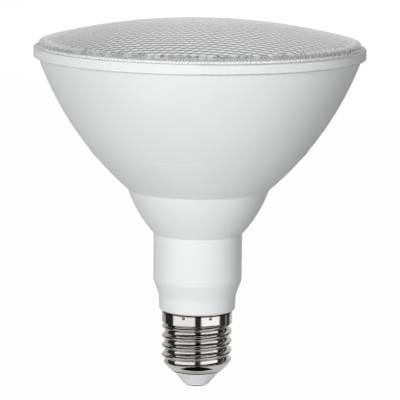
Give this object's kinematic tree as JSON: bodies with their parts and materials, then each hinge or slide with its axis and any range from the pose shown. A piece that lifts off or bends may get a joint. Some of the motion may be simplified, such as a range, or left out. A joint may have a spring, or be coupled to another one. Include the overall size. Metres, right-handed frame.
{
  "type": "reflector spotlight lamp",
  "caption": "Reflector spotlight lamp: domed prismatic lens in a white front ring, flared white body with a stepped neck, and a nickel screw cap.",
  "frame": {"origin": "centre of the tip contact's underside", "axes": "+Z along the lamp's axis from the tip contact to the lens; X and Y across it, with the driver board parallel to XZ"},
  "size_m": [0.122, 0.122, 0.1369],
  "materials": {
    "clear_polycarbonate": "clear, fine prisms outside, smooth skirt",
    "silicone": "translucent grey",
    "white_plastic": "satin moulded white",
    "aluminised_plastic": "vacuum-metallised, bright",
    "aluminium": "pressed, bare",
    "white_solder_mask": "matt white mask on a metal core",
    "phosphor": "yellow phosphor gel in a white package",
    "zinc_steel": "zinc-plated",
    "red_insulation": "extruded",
    "black_insulation": "extruded",
    "white_insulation": "extruded",
    "green_solder_mask": "green mask on glass epoxy",
    "black_sleeve": "shrunk sleeve",
    "red_epoxy": "dipped epoxy",
    "ferrite": "ground, dark grey",
    "black_moulding": "moulded epoxy",
    "yellow_tape": "polyester tape over the winding",
    "blue_enamel": "flameproof enamel",
    "nickel": "bright nickel plate",
    "pale_moulding": "moulded, slightly translucent"
  },
  "bodies": {
    "root": {"lens": "clear_polycarbonate", "lens_gasket": "silicone", "bezel_ring": "white_plastic", "reflector": "aluminised_plastic", "housing": "white_plastic", "heat_sink": "aluminium", "led_board": "white_solder_mask", "led_packages": "phosphor", "board_screws": "zinc_steel", "led_lead_positive": "red_insulation", "led_lead_negative": "black_insulation", "driver_board": "green_solder_mask", "bulk_capacitor": "black_sleeve", "output_capacitor": "black_sleeve", "film_capacitor": "red_epoxy", "transformer_core": "ferrite", "transformer_bobbin": "black_moulding", "transformer_winding": "yellow_tape", "bridge_rectifier": "black_moulding", "driver_chip": "black_moulding", "fuse_resistor": "blue_enamel", "mains_lead_line": "white_insulation", "mains_lead_neutral": "white_insulation", "cap_shell": "nickel", "cap_insulator": "pale_moulding", "tip_contact": "nickel"}
  },
  "joints": []
}
